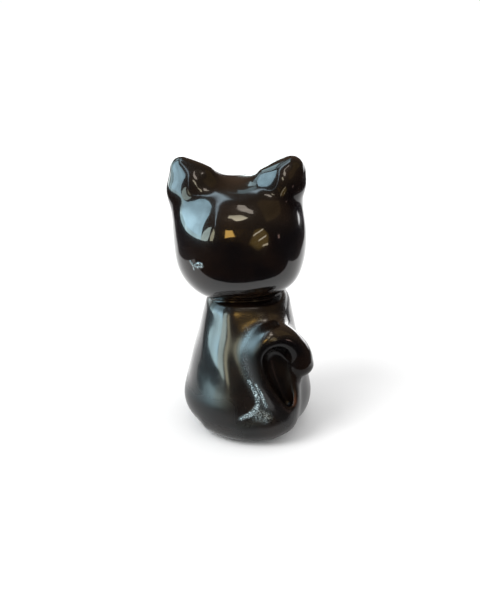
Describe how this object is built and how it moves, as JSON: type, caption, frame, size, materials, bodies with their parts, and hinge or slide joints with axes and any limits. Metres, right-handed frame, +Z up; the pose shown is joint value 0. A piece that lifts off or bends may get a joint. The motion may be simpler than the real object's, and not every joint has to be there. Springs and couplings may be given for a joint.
{
  "type": "ceramic cat figurine",
  "caption": "Small glazed ceramic ornament of a seated cat with a round head, upright ears and a tail curled up its back, standing on a flat foot.",
  "frame": {"origin": "middle of the round foot, on the plane that the figurine stands on", "axes": "+Z up, -Y the way the cat faces, +X towards the cat's left"},
  "size_m": [0.0558, 0.0604, 0.1073],
  "materials": {
    "body_glaze": "mirror-gloss brown-black glaze",
    "head_glaze": "mirror-gloss brown-black glaze",
    "ear_glaze": "mirror-gloss brown-black glaze, thinner and warmer on the edges",
    "tail_glaze": "mirror-gloss brown-black glaze that breaks to rust red on the edges",
    "leg_glaze": "mirror-gloss brown-black glaze",
    "face_glaze": "mirror-gloss brown-black glaze",
    "slip_glaze": "pooled glaze in the creases, pitted and crackled beside the tail",
    "bare_clay": "unglazed fired stoneware, matt"
  },
  "bodies": {
    "root": {"base_disc": "bare_clay", "body_shell": "body_glaze", "neck_slip": "slip_glaze", "head_shell": "head_glaze", "left_ear": "ear_glaze", "right_ear": "ear_glaze", "muzzle": "face_glaze", "nose": "face_glaze", "left_eye": "face_glaze", "right_eye": "face_glaze", "left_foreleg": "leg_glaze", "right_foreleg": "leg_glaze", "left_hind_paw": "leg_glaze", "right_hind_paw": "leg_glaze", "tail_slip": "slip_glaze", "tail": "tail_glaze"}
  },
  "joints": []
}
